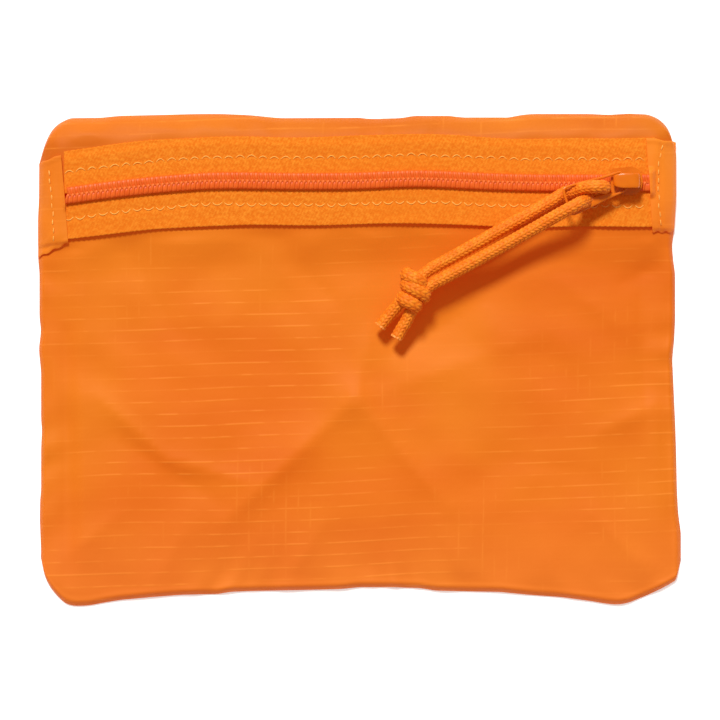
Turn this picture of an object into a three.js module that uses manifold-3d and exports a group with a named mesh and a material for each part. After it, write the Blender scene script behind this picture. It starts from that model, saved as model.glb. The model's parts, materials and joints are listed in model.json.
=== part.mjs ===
// Flat zip-top stuff sack in orange ripstop nylon, lying on its back.
// Millimetres. +X runs along the zip to the right, +Y towards the top edge, +Z up out of the front.
// The origin is on the resting plane, under the middle of the sack.
import * as THREE from 'three';
import { mergeVertices } from 'three/addons/utils/BufferGeometryUtils.js';
import Module from 'manifold-3d';

// ---- Driving dimensions -----------------------------------------------------------------------
const SACK = { halfWidth: 100.4, top: 76.6, bottomMiddle: -70.8, bottomBow: 5.8, bowReach: 85 };
const CORNER = { topStart: 88, topDrop: 11, bottomStart: 85, bottomLift: 12 };
const CLOTH = 0.5;                              // thickness of one ripstop layer
const RIM = 1.3;                                // height of the front layer at the outer seams
const PLATEAU = 6;                              // height of the front layer over the filled part
const SHOULDER = { side: 9, bottom: 12, top: 7 };  // how far in the front layer takes to rise
const SLIT = 0.1;                               // air between two layers that lie on each other

const ZIP_Y = 55.3;                             // middle line of the coil chain
const ZIP_END = 92;                             // the chain and tapes end here, under the end tabs
const TAPE = { inner: 0.7, outer: 14.1, thickness: 0.5 };
const TAPE_TOP = PLATEAU + SLIT + TAPE.thickness;
const COIL = { inner: 0.6, outer: 2.65, height: 1.7 };
const COIL_BASE = TAPE_TOP + SLIT;
const COIL_TOP = COIL_BASE + COIL.height;
const PANEL_EDGE = 6;                           // the folded panel edges stop this far from the zip
const STITCH_ROW = 7.25;                        // stitch rows from the middle line of the zip
const THREAD = { radius: 0.22, sides: 6, start: 3, stop: 5 };  // start, stop: from the ends of the zip

const SLIDER = { x: 83, length: 10, frontHalf: 4.4, rearHalf: 3.9, plate: 0.95, wall: 0.8 };
const SLIDER_GAP = 0.25;                        // between slider plates and the tape or the coil
const LOWER_PLATE_INSET = 0.3;                  // the lower plate is this much smaller all round
const WEDGE = { from: 3.1, to: 4.5, half: 0.3 };     // the post that parts the coils
const PIN_HOLE = { from: -2.9, to: -1.7, half: 0.9 };
const CROWN = {
  rear: -4.2, front: 4.2, halfWidth: 2.3, rearHalf: 1.5, taperFrom: -1.2,
  roof: 0.8, room: 3.1, leg: 1.1, legHalf: 1, corner: 1,
  // how far the arch falls at its ends
  rearDrop: 1.4, frontDrop: 1.8, innerDrop: 1.9, legDrop: 1.5, hook: 0.3,
};
const PIVOT = { x: 82, z: 10.7 };               // the pull tab's hinge bar, inside the crown
const TAB = {
  length: 19.2, bar: 0.45, rootHalf: 3.75, tipHalf: 5.6, rail: 0.9, corner: 0.6, turn: 19, lift: 9,
};
const CORD = { radius: 2, sides: 10, legSteps: 36, tailSteps: 4 };

const PLATE_TOP_Z = COIL_TOP + SLIDER_GAP;      // underside of the slider's upper plate
const SADDLE_Z = PLATE_TOP_Z + SLIDER.plate;    // the crown stands on this face

// ---- Helpers ----------------------------------------------------------------------------------
const wasm = await Module();
wasm.setup();

function toSolid(geometry) {
  const bare = geometry.clone();
  bare.deleteAttribute('normal');
  bare.deleteAttribute('uv');
  const merged = mergeVertices(bare, 1e-4);
  return new wasm.Manifold(new wasm.Mesh({
    numProp: 3,
    vertProperties: new Float32Array(merged.attributes.position.array),
    triVerts: new Uint32Array(merged.index.array),
  }));
}

function toGeometry(solid) {
  const mesh = solid.getMesh();
  const geometry = new THREE.BufferGeometry();
  geometry.setAttribute('position', new THREE.BufferAttribute(new Float32Array(mesh.vertProperties), 3));
  geometry.setIndex(new THREE.BufferAttribute(new Uint32Array(mesh.triVerts), 1));
  geometry.computeVertexNormals();
  return geometry;
}

const clamp01 = (value) => Math.min(1, Math.max(0, value));
const smooth = (value) => value * value * (3 - 2 * value);
const mirrored = (insets, half) => [
  ...insets.map((inset) => inset - half),
  ...insets.slice(0, -1).reverse().map((inset) => half - inset),
];

// A box between two corners.
function block(low, high) {
  const size = high.map((value, axis) => value - low[axis]);
  const box = new THREE.BoxGeometry(...size);
  return box.translate(...low.map((value, axis) => value + size[axis] / 2));
}

// A closed layer over a grid of places: under and over give its lower and upper height at (x, y).
function layer(places, under, over) {
  const rows = places.length;
  const columns = places[0].length;
  const position = [];
  for (const height of [over, under]) {
    for (const row of places) {
      for (const [x, y] of row) position.push(x, y, height(x, y));
    }
  }
  const index = [];
  const at = (side, row, column) => (side * rows + row) * columns + column;
  const quad = (a, b, c, d) => index.push(a, b, c, a, c, d);
  for (let row = 0; row < rows - 1; row += 1) {
    for (let column = 0; column < columns - 1; column += 1) {
      quad(at(0, row, column), at(0, row, column + 1), at(0, row + 1, column + 1), at(0, row + 1, column));
      quad(at(1, row, column), at(1, row + 1, column), at(1, row + 1, column + 1), at(1, row, column + 1));
    }
  }
  for (let row = 0; row < rows - 1; row += 1) {
    const last = columns - 1;
    quad(at(0, row, 0), at(0, row + 1, 0), at(1, row + 1, 0), at(1, row, 0));
    quad(at(0, row, last), at(1, row, last), at(1, row + 1, last), at(0, row + 1, last));
  }
  for (let column = 0; column < columns - 1; column += 1) {
    const last = rows - 1;
    quad(at(0, 0, column), at(1, 0, column), at(1, 0, column + 1), at(0, 0, column + 1));
    quad(at(0, last, column), at(0, last, column + 1), at(1, last, column + 1), at(1, last, column));
  }
  const geometry = new THREE.BufferGeometry();
  geometry.setAttribute('position', new THREE.Float32BufferAttribute(position, 3));
  geometry.setIndex(index);
  geometry.computeVertexNormals();
  return geometry;
}

// A round tube along a smooth line through the given points.
function tube(points, radius, sides, steps) {
  const section = new THREE.Shape(
    Array.from({ length: sides }, (unused, side) => {
      const angle = (2 * Math.PI * side) / sides;
      return new THREE.Vector2(radius * Math.cos(angle), radius * Math.sin(angle));
    }),
  );
  const places = points.map((point) => new THREE.Vector3(...point));
  const path = new THREE.CatmullRomCurve3(places, false, 'centripetal');
  return new THREE.ExtrudeGeometry(section, { steps, extrudePath: path });
}

// ---- The sack's outline and the shape of its front ---------------------------------------------
// Distance along a quarter round, from 0 at its start to 1 at its end.
const quarterRound = (x, start) => {
  const along = clamp01((Math.abs(x) - start) / (SACK.halfWidth - start));
  return 1 - Math.sqrt(1 - along * along);
};
const topEdge = (x) => SACK.top - CORNER.topDrop * quarterRound(x, CORNER.topStart);
const bottomEdge = (x) => {
  const bow = SACK.bottomBow * Math.min(1, (x / SACK.bowReach) ** 2);
  return SACK.bottomMiddle - bow + CORNER.bottomLift * quarterRound(x, CORNER.bottomStart);
};
const frontOver = (x, y) => {
  const inFromEdge = Math.min(
    (SACK.halfWidth - Math.abs(x)) / SHOULDER.side,
    (y - bottomEdge(x)) / SHOULDER.bottom,
    (topEdge(x) - y) / SHOULDER.top,
  );
  return RIM + (PLATEAU - RIM) * smooth(clamp01(inFromEdge));
};
const frontUnder = (x, y) => frontOver(x, y) - CLOTH;

// Columns and rows of a panel are closer together where the layer rises from its seams.
const PANEL_COLUMNS = mirrored([0, 0.8, 2.5, 5, 7.5, 10, 15, 40, 70, SACK.halfWidth], SACK.halfWidth);

function panelPlaces(low, high, shares) {
  return shares.map((share) => PANEL_COLUMNS.map((x) => [x, low(x) + share * (high(x) - low(x))]));
}

function backPanel() {
  const along = PANEL_COLUMNS.map((x) => new THREE.Vector2(x, bottomEdge(x)));
  const back = PANEL_COLUMNS.map((x) => new THREE.Vector2(x, topEdge(x))).reverse();
  const outline = new THREE.Shape([...along, ...back]);
  return new THREE.ExtrudeGeometry(outline, { depth: CLOTH, bevelEnabled: false });
}

function frontLowerPanel() {
  const shares = [0, 0.02, 0.045, 0.07, 0.1, 0.4, 0.7, 1];
  return layer(panelPlaces(bottomEdge, () => ZIP_Y - PANEL_EDGE, shares), frontUnder, frontOver);
}

function frontUpperPanel() {
  const shares = [0, 0.5, 0.65, 0.8, 0.9, 1];
  return layer(panelPlaces(() => ZIP_Y + PANEL_EDGE, topEdge, shares), frontUnder, frontOver);
}

// A thread along one outer seam, between the two layers, set in from the sack's edge.
const SEAM = { inset: 2.6, height: 0.85, cornerStop: 9, radius: 0.18, sides: 6 };
function seamThread(edge, xs) {
  const points = xs.map((x) => [x, edge(x), SEAM.height]);
  return tube(points, SEAM.radius, SEAM.sides, 12);
}
function sideSeamThread(side) {
  const x = side * (SACK.halfWidth - SEAM.inset);
  const low = bottomEdge(x) + SEAM.cornerStop;
  const high = topEdge(x) - SEAM.cornerStop;
  const points = [low, (low + high) / 2, high].map((y) => [x, y, SEAM.height]);
  return tube(points, SEAM.radius, SEAM.sides, 4);
}
const SEAM_COLUMNS = mirrored([15, 40, 70, SACK.halfWidth], SACK.halfWidth);

// ---- Zip ----------------------------------------------------------------------------------------
function tape(side) {
  const edges = [ZIP_Y + side * TAPE.inner, ZIP_Y + side * TAPE.outer].sort((a, b) => a - b);
  return block([-ZIP_END, edges[0], PLATEAU + SLIT], [ZIP_END, edges[1], TAPE_TOP]);
}

// One half of the chain: a long D-shaped strand, flat where it is sewn to its tape.
function coil(side) {
  const half = (COIL.outer - COIL.inner) / 2;
  const middle = ZIP_Y + side * (COIL.inner + half);
  const crownSteps = 6;
  const round = COIL.height - half;
  const section = [new THREE.Vector2(-half, 0), new THREE.Vector2(half, 0)];
  for (let step = 0; step <= crownSteps; step += 1) {
    const angle = (Math.PI * step) / crownSteps;
    section.push(new THREE.Vector2(half * Math.cos(angle), round + half * Math.sin(angle)));
  }
  const options = { depth: 2 * ZIP_END, bevelEnabled: false };
  const strand = new THREE.ExtrudeGeometry(new THREE.Shape(section), options);
  strand.rotateX(Math.PI / 2).rotateZ(Math.PI / 2);
  return strand.translate(-ZIP_END, middle, COIL_BASE);
}

// The cloth tab folded over one end of the zip: it covers the tape and chain, then dips to the seam.
const END_TAB = {
  left: { seam: -99.6, inner: [-90.6, -92.8], low: [31.6, 36.2], high: [61, 63.6] },
  right: { seam: 98.8, inner: [91.2, 89.2], low: [39.7, 39.7], high: [67.6, 68.8] },
};
const TAB_LAY = { air: 0.25, tape: 0.65, chain: 1.75, pastZip: 1, fall: 4, chainHalf: 2.9, slope: 2.6 };
const endTabUnder = (x, y) => {
  const over = 1 - clamp01((Math.abs(x) - ZIP_END - TAB_LAY.pastZip) / TAB_LAY.fall);
  const ridge = 1 - smooth(clamp01((Math.abs(y - ZIP_Y) - TAB_LAY.chainHalf) / TAB_LAY.slope));
  return frontOver(x, y) + TAB_LAY.air + over * (TAB_LAY.tape + TAB_LAY.chain * ridge);
};
const endTabOver = (x, y) => endTabUnder(x, y) + CLOTH;

function endTab({ seam, inner, low, high }) {
  const rows = Array.from({ length: 15 }, (unused, row) => row / 14);
  const columns = [0, 0.2, 0.4, 0.6, 0.75, 1];
  const mix = (pair, share) => pair[0] + share * (pair[1] - pair[0]);
  const places = rows.map((row) => {
    const across = columns.map((column) => {
      const y = mix([mix(low, column), mix(high, column)], row);
      return [mix([seam, mix(inner, row)], column), y];
    });
    return seam < 0 ? across : across.reverse();
  });
  return layer(places, endTabUnder, endTabOver);
}

function tapeStitch(side) {
  const y = ZIP_Y + side * STITCH_ROW;
  const z = TAPE_TOP + SLIT + THREAD.radius;
  const points = [THREAD.start - ZIP_END, 0, ZIP_END - THREAD.stop].map((x) => [x, y, z]);
  return tube(points, THREAD.radius, THREAD.sides, 4);
}

const STITCH_LIFT = 0.7;                        // a straight thread clears the uneven tab by this much
function tabStitch(foot, head) {
  const steps = 12;
  const points = Array.from({ length: steps + 1 }, (unused, step) => {
    const share = step / steps;
    const x = foot[0] + share * (head[0] - foot[0]);
    const y = foot[1] + share * (head[1] - foot[1]);
    return [x, y, endTabOver(x, y) + STITCH_LIFT + THREAD.radius];
  });
  return tube(points, THREAD.radius, THREAD.sides, 2 * steps);
}

// ---- Slider -------------------------------------------------------------------------------------
// Its plan: wide and round at the front, where the chain opens, and a little narrower at the rear.
function sliderPlan(grow) {
  const front = SLIDER.length / 2;
  const plan = new THREE.Shape();
  plan.moveTo(-front, -SLIDER.rearHalf - grow + 1);
  plan.quadraticCurveTo(-front, -SLIDER.rearHalf - grow, 1 - front, -SLIDER.rearHalf - grow);
  plan.lineTo(1, -SLIDER.frontHalf - grow);
  plan.quadraticCurveTo(front, -SLIDER.frontHalf - grow, front, 0);
  plan.quadraticCurveTo(front, SLIDER.frontHalf + grow, 1, SLIDER.frontHalf + grow);
  plan.lineTo(1 - front, SLIDER.rearHalf + grow);
  plan.quadraticCurveTo(-front, SLIDER.rearHalf + grow, -front, SLIDER.rearHalf + grow - 1);
  plan.closePath();
  return plan;
}

function slab(grow, low, high) {
  const options = { depth: high - low, bevelEnabled: false, curveSegments: 4 };
  const plate = new THREE.ExtrudeGeometry(sliderPlan(grow), options);
  return toSolid(plate.translate(0, 0, low));
}

function sliderBody() {
  const far = 20;
  const bite = 1;                               // overlap of one cutting or joining block with its plate
  const wallFoot = TAPE_TOP + 2 * SLIDER_GAP;
  const lowTop = PLATEAU + SLIT - SLIDER_GAP;
  const lower = slab(-LOWER_PLATE_INSET, lowTop - SLIDER.plate, lowTop);
  const upper = slab(0, wallFoot, SADDLE_Z);
  const channelHalf = SLIDER.rearHalf - SLIDER.wall;
  const channel = toSolid(block([-far, -channelHalf, wallFoot - bite], [far, channelHalf, PLATE_TOP_Z]));
  const wedge = toSolid(block(
    [WEDGE.from, -WEDGE.half, lowTop - SLIDER_GAP],
    [WEDGE.to, WEDGE.half, PLATE_TOP_Z + SLIDER_GAP],
  ));
  const pinHole = toSolid(block(
    [PIN_HOLE.from, -PIN_HOLE.half, PLATE_TOP_Z - bite],
    [PIN_HOLE.to, PIN_HOLE.half, SADDLE_Z + bite],
  ));
  const body = upper.subtract(channel).add(lower).add(wedge).subtract(pinHole);
  return toGeometry(body).translate(SLIDER.x, 0, 0);
}

// The crown is an arch along the slider, open at both sides. Its roof narrows towards the rear,
// where the pull tab's rails pass it.
function crown() {
  const far = 20;
  const foot = SADDLE_Z + SLIT;
  const roofTop = foot + CROWN.room + CROWN.roof;
  const middle = (CROWN.rear + CROWN.front) / 2;
  const arch = new THREE.Shape();
  arch.moveTo(CROWN.rear, foot);
  arch.lineTo(CROWN.rear, roofTop - CROWN.rearDrop);
  arch.quadraticCurveTo(CROWN.rear + CROWN.hook, roofTop, middle, roofTop);
  arch.quadraticCurveTo(CROWN.front - CROWN.hook, roofTop, CROWN.front, roofTop - CROWN.frontDrop);
  arch.lineTo(CROWN.front, foot);
  const inFront = CROWN.front - CROWN.leg;
  const ceiling = roofTop - CROWN.roof;
  arch.lineTo(inFront, foot);
  arch.lineTo(inFront, roofTop - CROWN.innerDrop);
  arch.quadraticCurveTo(inFront - CROWN.hook, ceiling, middle, ceiling);
  arch.lineTo(CROWN.rear + CROWN.leg, ceiling);
  arch.lineTo(CROWN.rear + CROWN.leg, foot);
  arch.closePath();
  const options = { depth: 2 * CROWN.halfWidth, bevelEnabled: false, curveSegments: 6 };
  const wide = new THREE.ExtrudeGeometry(arch, options);
  wide.rotateX(Math.PI / 2).translate(0, CROWN.halfWidth, 0);
  const legTop = roofTop - CROWN.legDrop;
  const plan = new THREE.Shape();
  plan.moveTo(CROWN.rear, -CROWN.rearHalf);
  plan.lineTo(CROWN.taperFrom, -CROWN.halfWidth);
  plan.lineTo(CROWN.front - CROWN.corner, -CROWN.halfWidth);
  plan.quadraticCurveTo(CROWN.front, -CROWN.halfWidth, CROWN.front, CROWN.corner - CROWN.halfWidth);
  plan.lineTo(CROWN.front, CROWN.halfWidth - CROWN.corner);
  plan.quadraticCurveTo(CROWN.front, CROWN.halfWidth, CROWN.front - CROWN.corner, CROWN.halfWidth);
  plan.lineTo(CROWN.taperFrom, CROWN.halfWidth);
  plan.lineTo(CROWN.rear, CROWN.rearHalf);
  plan.closePath();
  const column = new THREE.ExtrudeGeometry(plan, { depth: far, bevelEnabled: false, curveSegments: 4 });
  let body = toSolid(wide).intersect(toSolid(column));
  for (const side of [-1, 1]) {
    const cheek = [side * CROWN.legHalf, side * far].sort((a, b) => a - b);
    const end = CROWN.rear + CROWN.leg + 0.1;
    body = body.subtract(toSolid(block([-far, cheek[0], foot - 1], [end, cheek[1], legTop])));
  }
  return toGeometry(body).translate(SLIDER.x, 0, 0);
}

// The lock spring: a leaf over the hinge bar, with a pin down through the upper plate.
const SPRING = { root: 3, tip: -2.55, pin: 0.55, leaf: 0.25, half: 0.6 };
const SPRING_Z = PIVOT.z + 2 * TAB.bar;
function lockSpring() {
  const pinFoot = COIL_TOP + SLIT;
  const profile = new THREE.Shape();
  profile.moveTo(SPRING.tip, pinFoot);
  profile.lineTo(SPRING.tip + SPRING.pin, pinFoot);
  profile.lineTo(SPRING.tip + SPRING.pin, SPRING_Z);
  profile.lineTo(SPRING.root, SPRING_Z);
  profile.lineTo(SPRING.root, SPRING_Z + SPRING.leaf);
  profile.lineTo(SPRING.tip, SPRING_Z + SPRING.leaf);
  profile.closePath();
  const leaf = new THREE.ExtrudeGeometry(profile, { depth: 2 * SPRING.half, bevelEnabled: false });
  return leaf.rotateX(Math.PI / 2).translate(SLIDER.x, SPRING.half, 0);
}

// The pull tab: a flat open frame, widening from the hinge bar to the bar that holds the cord.
function pullTab() {
  const outline = (start, end, rootHalf, tipHalf, Kind) => {
    const shape = new Kind();
    shape.moveTo(start, -rootHalf);
    shape.lineTo(end - TAB.corner, -tipHalf);
    shape.quadraticCurveTo(end, -tipHalf, end, TAB.corner - tipHalf);
    shape.lineTo(end, tipHalf - TAB.corner);
    shape.quadraticCurveTo(end, tipHalf, end - TAB.corner, tipHalf);
    shape.lineTo(start, rootHalf);
    shape.closePath();
    return shape;
  };
  const frame = outline(-TAB.bar, TAB.length + TAB.bar, TAB.rootHalf, TAB.tipHalf, THREE.Shape);
  const inner = [TAB.rootHalf - TAB.rail, TAB.tipHalf - TAB.rail];
  frame.holes.push(outline(TAB.bar, TAB.length - TAB.bar, ...inner, THREE.Path));
  const options = { depth: 2 * TAB.bar, bevelEnabled: false, curveSegments: 3 };
  return new THREE.ExtrudeGeometry(frame, options).translate(0, 0, -TAB.bar);
}

// ---- Pull cord: one 4 mm braided cord, doubled through the tab and knotted ----------------------
// Each leg starts at the fold beside the slider and ends at the knot.
const UPPER_LEG = [
  [76, 53.2, 12.9], [75.9, 53.3, 13.6], [75.2, 53.4, 14.4], [74.1, 53.4, 14.8], [71.9, 53.3, 14.6],
  [69.8, 53.1, 13.5], [67.9, 52.5, 11.9], [66.1, 52, 10.7], [64.1, 51.7, 10.4],
  [59.5, 49, 10.6], [52, 44.7, 11.1], [43, 39.6, 11.3], [34, 34.5, 11], [27.5, 30.9, 10.7], [22.3, 28, 10.6],
];
const LOWER_LEG = [
  [76, 53.1, 11.9], [75.9, 53, 11.4], [75.5, 52.8, 10.8], [74.7, 52.3, 10.3],
  [73.5, 51.5, 10], [72.3, 50.6, 9.9], [71.1, 49.8, 10.6], [70.3, 49.2, 12], [69.6, 48.8, 13.7],
  [68.5, 48.4, 15.4], [67, 47.6, 16.5], [65.2, 46.6, 16.8], [62.5, 45.2, 16.4],
  [55, 40.9, 14.4], [46, 35.9, 12.9], [37, 31, 11.8], [30, 27.2, 11.1], [24.3, 24.2, 10.7],
];
const KNOT = { centre: [17.6, 21.8, 10.7], along: 6, across: 6.4, deep: 4.2, turn: 30 };
const LEFT_TAIL = [[12.4, 17.4, 9.4], [10.6, 15.2, 8.7], [8.4, 12.6, 8.4], [6.3, 10, 8.3]];
const RIGHT_TAIL = [[15.9, 14.6, 9.3], [14.7, 12, 8.7], [13, 9.2, 8.4], [11.4, 6.4, 8.3]];

const cordTube = (points, steps) => tube(points, CORD.radius, CORD.sides, steps);

function knot() {
  const ball = new THREE.SphereGeometry(1, 14, 10).rotateX(Math.PI / 2);
  ball.scale(KNOT.along, KNOT.across, KNOT.deep).rotateZ(THREE.MathUtils.degToRad(KNOT.turn));
  return ball.translate(...KNOT.centre);
}

// ---- Assembly -----------------------------------------------------------------------------------
const FINISH = {
  ripstop: { color: 0xf07826, roughness: 0.55, metalness: 0 },
  tape: { color: 0xf78c28, roughness: 0.8, metalness: 0 },
  coil: { color: 0xf0602c, roughness: 0.45, metalness: 0 },
  paint: { color: 0xeb7d19, roughness: 0.3, metalness: 0.1 },
  steel: { color: 0xb8bcc0, roughness: 0.35, metalness: 0.9 },
  cord: { color: 0xfa9628, roughness: 0.75, metalness: 0 },
  thread: { color: 0xffcf5a, roughness: 0.6, metalness: 0 },
};

const sack = new THREE.Group();

function place(name, geometry, finish, parent = sack) {
  const mesh = new THREE.Mesh(geometry, new THREE.MeshStandardMaterial(FINISH[finish]));
  mesh.name = name;
  parent.add(mesh);
  return mesh;
}

place('back_panel', backPanel(), 'ripstop');
place('front_lower_panel', frontLowerPanel(), 'ripstop');
place('front_upper_panel', frontUpperPanel(), 'ripstop');
place('seam_thread_left', sideSeamThread(-1), 'thread');
place('seam_thread_right', sideSeamThread(1), 'thread');
place('seam_thread_bottom', seamThread((x) => bottomEdge(x) + SEAM.inset, SEAM_COLUMNS), 'thread');
place('seam_thread_top', seamThread((x) => topEdge(x) - SEAM.inset, SEAM_COLUMNS), 'thread');

place('zip_tape_upper', tape(1), 'tape');
place('zip_tape_lower', tape(-1), 'tape');
place('zip_coil_upper', coil(1), 'coil');
place('zip_coil_lower', coil(-1), 'coil');
place('end_tab_left', endTab(END_TAB.left), 'ripstop');
place('end_tab_right', endTab(END_TAB.right), 'ripstop');
place('stitch_tape_upper', tapeStitch(1), 'thread');
place('stitch_tape_lower', tapeStitch(-1), 'thread');
place('stitch_tab_left', tabStitch([-95, 36.8], [-96.8, 60]), 'thread');
place('stitch_tab_right', tabStitch([93.6, 42], [93, 66]), 'thread');

const slider = new THREE.Group();
slider.position.y = ZIP_Y;
sack.add(slider);
place('slider_body', sliderBody(), 'paint', slider);
place('slider_crown', crown(), 'paint', slider);
place('lock_spring', lockSpring(), 'steel', slider);

const tab = place('pull_tab', pullTab(), 'paint');
tab.position.set(PIVOT.x, ZIP_Y, PIVOT.z);
tab.rotation.order = 'ZYX';
tab.rotation.z = THREE.MathUtils.degToRad(180 + TAB.turn);
tab.rotation.y = THREE.MathUtils.degToRad(-TAB.lift);

place('cord_leg_upper', cordTube(UPPER_LEG, CORD.legSteps), 'cord');
place('cord_leg_lower', cordTube(LOWER_LEG, CORD.legSteps), 'cord');
place('cord_knot', knot(), 'cord');
place('cord_tail_left', cordTube(LEFT_TAIL, CORD.tailSteps), 'cord');
place('cord_tail_right', cordTube(RIGHT_TAIL, CORD.tailSteps), 'cord');

export default sack;
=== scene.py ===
# Looks of a flat zip stuff sack in orange ripstop.
# Lengths are in millimetres in the CAD frame, until make_piece() makes them into meshes in metres.
# The cord's routes, the noise scales, the floor and the lamp are in metres.

import json
import math

import bpy
import numpy as np
from mathutils.bvhtree import BVHTree
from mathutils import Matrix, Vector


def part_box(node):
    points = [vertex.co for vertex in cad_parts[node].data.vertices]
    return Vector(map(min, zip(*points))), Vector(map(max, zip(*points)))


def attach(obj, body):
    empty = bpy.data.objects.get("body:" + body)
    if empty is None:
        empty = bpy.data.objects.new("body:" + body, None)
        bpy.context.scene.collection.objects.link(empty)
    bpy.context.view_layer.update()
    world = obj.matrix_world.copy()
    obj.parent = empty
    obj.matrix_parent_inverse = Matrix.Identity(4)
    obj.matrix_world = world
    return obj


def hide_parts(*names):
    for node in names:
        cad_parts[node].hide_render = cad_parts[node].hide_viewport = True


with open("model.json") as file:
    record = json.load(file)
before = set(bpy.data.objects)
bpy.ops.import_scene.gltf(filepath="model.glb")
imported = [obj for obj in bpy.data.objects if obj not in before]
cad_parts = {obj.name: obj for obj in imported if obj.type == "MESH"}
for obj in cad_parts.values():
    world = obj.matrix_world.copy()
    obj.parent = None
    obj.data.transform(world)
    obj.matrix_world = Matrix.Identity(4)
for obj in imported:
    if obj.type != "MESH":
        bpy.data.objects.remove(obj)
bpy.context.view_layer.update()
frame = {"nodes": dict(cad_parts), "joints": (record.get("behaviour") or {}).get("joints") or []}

MM = 0.001
TAU = 2 * math.pi


# ---- Places taken from the frame ----
def node_box(name):
    low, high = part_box(name)
    return np.array(low) / MM, np.array(high) / MM


back_high = node_box("back_panel")[1]
tape_low, tape_high = node_box("zip_tape_upper")
coil_low, coil_high = node_box("zip_coil_upper")
body_low, body_high = node_box("slider_body")
crown_low, crown_high = node_box("slider_crown")
HALF_W = back_high[0]  # half the sack's width
TAPE_OUTER = 14.1      # from the middle of the chain to a tape's free edge
TAPE_FOOT, TAPE_TOP = tape_low[2], tape_high[2]
ZIP_Y = tape_high[1] - TAPE_OUTER
ZIP_END = tape_high[0]
COIL_FOOT, COIL_TOP = coil_low[2], coil_high[2]
COIL_MIDDLE = (COIL_TOP + COIL_FOOT) / 2
COIL_OUTER = coil_high[1] - ZIP_Y


# ---- Small helpers ----
def smooth01(value):
    value = np.clip(value, 0, 1)
    return value * value * (3 - 2 * value)


def hump(value, middle, width):
    return np.exp(-(((value - middle) / width) ** 2))


def signed_power(value, power):
    return np.sign(value) * np.abs(value) ** power


def srgb(red, green, blue):
    """A colour for a shader, from one given as on a screen, 0 to 255."""
    def linear(c):
        c /= 255
        return c / 12.92 if c <= 0.04045 else ((c + 0.055) / 1.055) ** 2.4

    return (linear(red), linear(green), linear(blue), 1)


def add_object(name, data):
    obj = bpy.data.objects.new(name, data)
    bpy.context.scene.collection.objects.link(obj)
    return obj


def make_piece(name, verts, faces, materials, body, slot, *nodes):
    """A smooth mesh that rides on a body, takes the materials given and stands for CAD nodes. The
    slot is not used.
    """
    mesh = bpy.data.meshes.new(name)
    mesh.from_pydata((np.asarray(verts) * MM).tolist(), [], [tuple(map(int, f)) for f in faces])
    mesh.polygons.foreach_set("use_smooth", [True] * len(mesh.polygons))
    obj = add_object(name, mesh)
    for material in materials:
        mesh.materials.append(material)
    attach(obj, body)
    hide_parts(*nodes)
    return obj


def as_points(x, y, z):
    """Points in a list, from grids of their x, y and z."""
    return np.column_stack([np.ravel(x), np.ravel(y), np.ravel(z)])


def grid_faces(rows, columns, wrap=False):
    """Quads over a grid of points in row order; wrap joins the last column to the first."""
    faces = []
    for i in range(rows - 1):
        a = i * columns
        for j in range(columns if wrap else columns - 1):
            k = (j + 1) % columns
            faces.append((a + j, a + k, a + columns + k, a + columns + j))
    return faces


def line_steps(points):
    return np.linalg.norm(np.diff(points, axis=0), axis=1)


def distance_along(points):
    """How far along a line each of its points is."""
    return np.concatenate([[0], np.cumsum(line_steps(points))])


def resample(points, step):
    """The same line with points at equal steps."""
    points = np.asarray(points, float)
    along = distance_along(points)
    count = max(2, int(round(along[-1] / step)) + 1)
    places = np.linspace(0, along[-1], count)
    return np.column_stack([np.interp(places, along, points[:, k]) for k in range(3)])


SPLINE_PARTS = 24      # from one given point to the next


def spline(points, step):
    """Centripetal Catmull-Rom line through the points, resampled at equal steps."""
    p = np.asarray(points, float)
    p = np.vstack([2 * p[0] - p[1], p, 2 * p[-1] - p[-2]])
    fine = []
    for i in range(1, len(p) - 2):
        p0, p1, p2, p3 = p[i - 1], p[i], p[i + 1], p[i + 2]
        t1 = math.sqrt(np.linalg.norm(p1 - p0))
        t2 = t1 + math.sqrt(np.linalg.norm(p2 - p1))
        t3 = t2 + math.sqrt(np.linalg.norm(p3 - p2))
        for t in np.linspace(t1, t2, SPLINE_PARTS, endpoint=False):
            a1 = ((t1 - t) * p0 + t * p1) / t1
            a2 = ((t2 - t) * p1 + (t - t1) * p2) / (t2 - t1)
            a3 = ((t3 - t) * p2 + (t - t2) * p3) / (t3 - t2)
            b1 = ((t2 - t) * a1 + t * a2) / t2
            b2 = ((t3 - t) * a2 + (t - t1) * a3) / (t3 - t1)
            fine.append(((t2 - t) * b1 + (t - t1) * b2) / (t2 - t1))
    fine.append(p[-2])
    return resample(fine, step)


NEARLY_UPRIGHT = 0.2   # sine of the angle to the vertical


def across_line(points, guide=None):
    """Two unit vectors across a line at each point.

    They turn as little as they can from the first point's, of which one is level, or follow guide.
    """
    tangent = np.gradient(points, axis=0)
    tangent /= np.linalg.norm(tangent, axis=1)[:, None]
    if guide is None:
        first = np.cross(tangent[0], (0, 0, 1))
        if np.linalg.norm(first) < NEARLY_UPRIGHT:
            first = np.cross(tangent[0], (0, 1, 0))
        normals = [first / np.linalg.norm(first)]
        for t in tangent[1:]:
            n = normals[-1] - t * np.dot(normals[-1], t)
            normals.append(n / np.linalg.norm(n))
        normal = np.array(normals)
    else:
        normal = guide - tangent * np.sum(guide * tangent, axis=1)[:, None]
        normal /= np.linalg.norm(normal, axis=1)[:, None]
    return normal, np.cross(tangent, normal)


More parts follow.
